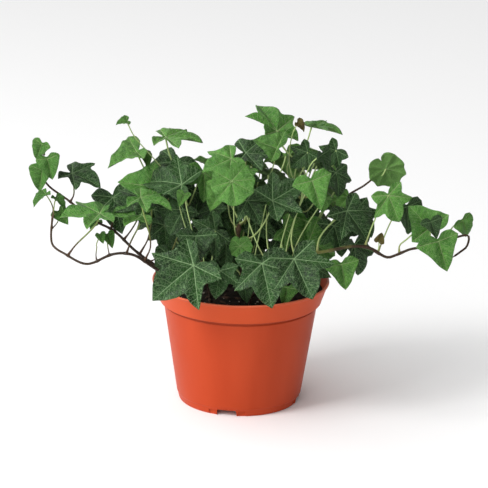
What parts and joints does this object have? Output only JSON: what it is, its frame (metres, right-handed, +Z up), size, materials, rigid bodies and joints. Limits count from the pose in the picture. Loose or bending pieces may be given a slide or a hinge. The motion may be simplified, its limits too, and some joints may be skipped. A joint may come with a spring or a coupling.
{
  "type": "potted ivy plant",
  "caption": "Young evergreen ivy with lobed leaves on trailing and upright stems, rooted in soil in a round flared plastic nursery pot with a rim band and a notched foot.",
  "frame": {"origin": "centre of the pot's underside, on the flat disc in the middle of its base", "axes": "+Z up, the pot's axis; X along the widest spread of the trailing stems; the fullest side of the plant faces -Y"},
  "size_m": [0.3743, 0.1778, 0.2509],
  "materials": {
    "pot_plastic": "terracotta orange, satin",
    "soil": "dark crumbly potting mix, matt",
    "stem_bark": "purplish brown young bark",
    "leaf_dark": "deep green with pale veins, satin",
    "leaf_mid": "mid green, satin",
    "leaf_light": "bright yellow-green, satin",
    "leaf_tip": "reddish brown new growth"
  },
  "bodies": {
    "root": {"pot": "pot_plastic", "soil": "soil", "runner_left_high": "stem_bark", "runner_left_low": "stem_bark", "runner_right_high": "stem_bark", "runner_right_low": "stem_bark", "stem_back": "stem_bark", "stem_back_left": "stem_bark", "stem_back_right": "stem_bark", "stem_front_left": "stem_bark", "stem_front_right": "stem_bark", "stem_middle": "stem_bark", "leaf_lobed_01": "leaf_dark", "leaf_lobed_02": "leaf_dark", "leaf_lobed_03": "leaf_dark", "leaf_round_04": "leaf_light", "leaf_three_05": "leaf_light", "leaf_lobed_06": "leaf_dark", "leaf_lobed_07": "leaf_dark", "leaf_lobed_08": "leaf_light", "leaf_three_09": "leaf_dark", "leaf_lobed_10": "leaf_dark", "leaf_lobed_11": "leaf_light", "leaf_lobed_12": "leaf_mid", "leaf_lobed_13": "leaf_dark", "leaf_round_14": "leaf_light", "leaf_lobed_15": "leaf_light", "leaf_three_16": "leaf_light", "leaf_three_17": "leaf_light", "leaf_three_18": "leaf_dark", "leaf_lobed_19": "leaf_light", "leaf_lobed_20": "leaf_light", "leaf_three_21": "leaf_light", "leaf_three_22": "leaf_mid", "leaf_lobed_23": "leaf_dark", "leaf_lobed_24": "leaf_dark", "leaf_lobed_25": "leaf_dark", "leaf_lobed_26": "leaf_mid", "leaf_lobed_27": "leaf_dark", "leaf_lobed_28": "leaf_dark", "leaf_lobed_29": "leaf_dark", "leaf_lobed_30": "leaf_dark", "leaf_three_31": "leaf_mid", "leaf_lobed_32": "leaf_dark", "leaf_lobed_33": "leaf_mid", "leaf_three_34": "leaf_mid", "leaf_lobed_35": "leaf_dark", "leaf_three_36": "leaf_dark", "leaf_round_37": "leaf_light", "leaf_lobed_38": "leaf_dark", "leaf_young_39": "leaf_light", "leaf_young_40": "leaf_light", "leaf_young_41": "leaf_light", "leaf_young_42": "leaf_light", "leaf_young_43": "leaf_light", "leaf_young_44": "leaf_mid", "leaf_young_45": "leaf_light", "leaf_young_46": "leaf_light", "leaf_young_47": "leaf_light", "leaf_young_48": "leaf_tip"}
  },
  "joints": []
}
